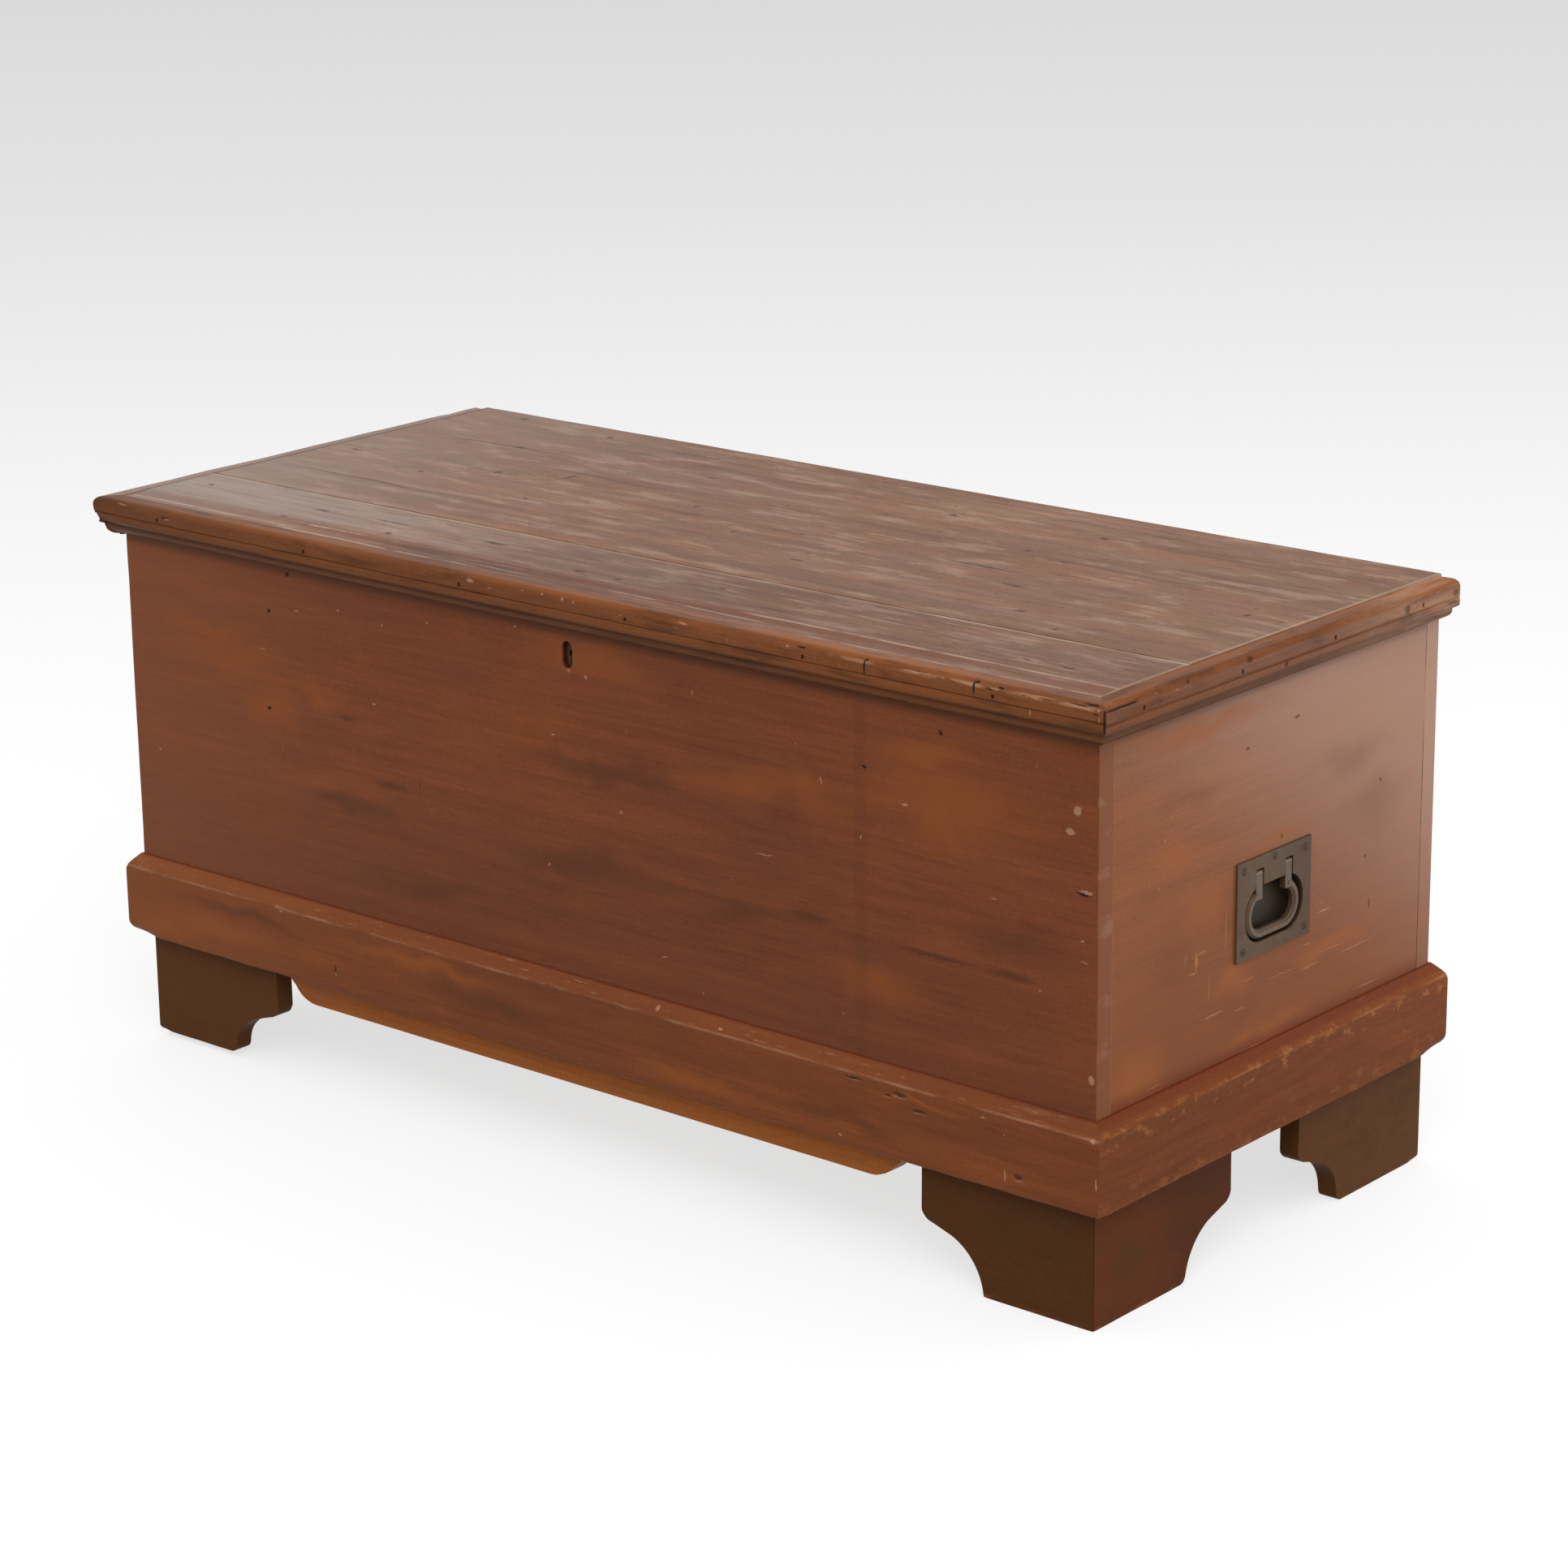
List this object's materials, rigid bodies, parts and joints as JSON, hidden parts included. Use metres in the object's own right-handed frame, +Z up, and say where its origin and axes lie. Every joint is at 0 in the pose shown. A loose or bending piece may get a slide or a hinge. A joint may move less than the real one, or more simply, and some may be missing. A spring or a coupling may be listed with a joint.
{
  "type": "blanket_chest",
  "caption": "Nailed pine blanket chest with moulded lid, bevelled base moulding, bracket feet, flush drop handles on the ends and a chest lock",
  "frame": {"origin": "On the floor, under the middle of the whole chest's bounding box", "axes": "+X along the chest's long side, to the right seen from the front; +Y from the front to the back; +Z up"},
  "size_m": [1.2432, 0.554, 0.5696],
  "materials": {
    "front_panel_wood": "polished",
    "case_wood": "satin",
    "inner_wood": "raw",
    "lid_wood": "polished",
    "moulding_wood": "satin",
    "skirt_wood": "satin",
    "foot_wood": "satin",
    "apron_wood": "satin",
    "handle_iron": "worn",
    "nail_iron": "worn",
    "lock_iron": "satin",
    "hinge_iron": "satin"
  },
  "bodies": {
    "case": {"front_board": "front_panel_wood", "back_board": "case_wood", "left_end_board": "case_wood", "right_end_board": "case_wood", "bottom_board_front": "inner_wood", "bottom_board_middle": "inner_wood", "bottom_board_back": "inner_wood", "foot_blocks": "inner_wood", "skirt_front": "skirt_wood", "skirt_back": "skirt_wood", "skirt_left": "skirt_wood", "skirt_right": "skirt_wood", "front_left_foot_face": "foot_wood", "front_left_foot_side": "foot_wood", "front_right_foot_face": "foot_wood", "front_right_foot_side": "foot_wood", "rear_left_foot_side": "foot_wood", "rear_left_foot_back": "foot_wood", "rear_right_foot_side": "foot_wood", "rear_right_foot_back": "foot_wood", "apron_front": "apron_wood", "case_nails": "nail_iron", "skirt_nails": "nail_iron", "hinge_case_leaf_left": "hinge_iron", "hinge_case_leaf_right": "hinge_iron", "hinge_pin_left": "hinge_iron", "hinge_pin_right": "hinge_iron", "hinge_case_screws": "hinge_iron", "lock_plate": "lock_iron", "lock_cap": "lock_iron", "lock_posts": "lock_iron", "lock_screws": "lock_iron", "handle_plate_left": "handle_iron", "handle_plate_right": "handle_iron", "handle_pan_left": "handle_iron", "handle_pan_right": "handle_iron", "handle_pin_left": "handle_iron", "handle_pin_right": "handle_iron", "handle_screws_left": "handle_iron", "handle_screws_right": "handle_iron"},
    "lid": {"lid_front_board": "lid_wood", "lid_back_board": "lid_wood", "lid_front_moulding": "moulding_wood", "lid_left_moulding": "moulding_wood", "lid_right_moulding": "moulding_wood", "moulding_nails": "nail_iron", "hinge_lid_leaf_left": "hinge_iron", "hinge_lid_leaf_right": "hinge_iron", "hinge_lid_screws": "hinge_iron", "lid_strike": "lock_iron", "strike_screws": "lock_iron"},
    "left_bail": {"bail_left": "handle_iron"},
    "right_bail": {"bail_right": "handle_iron"},
    "bolt": {"lock_bolt": "lock_iron"}
  },
  "joints": [
    {"name": "lid_hinge", "type": "hinge", "parent": "case", "child": "lid", "pos_m": [0, 0.26355, 0.5477], "axis": [-1, 0, 0], "range_deg": [0, 180]},
    {"name": "right_bail_pivot", "type": "hinge", "parent": "case", "child": "right_bail", "pos_m": [0.5978, 0.002, 0.356], "axis": [0, -1, 0], "range_deg": [0, 90]},
    {"name": "left_bail_pivot", "type": "hinge", "parent": "case", "child": "left_bail", "pos_m": [-0.5978, 0.002, 0.356], "axis": [0, 1, 0], "range_deg": [0, 90]},
    {"name": "bolt_slide", "type": "slide", "parent": "case", "child": "bolt", "axis": [1, 0, 0], "range_m": [0, 0.008]}
  ]
}
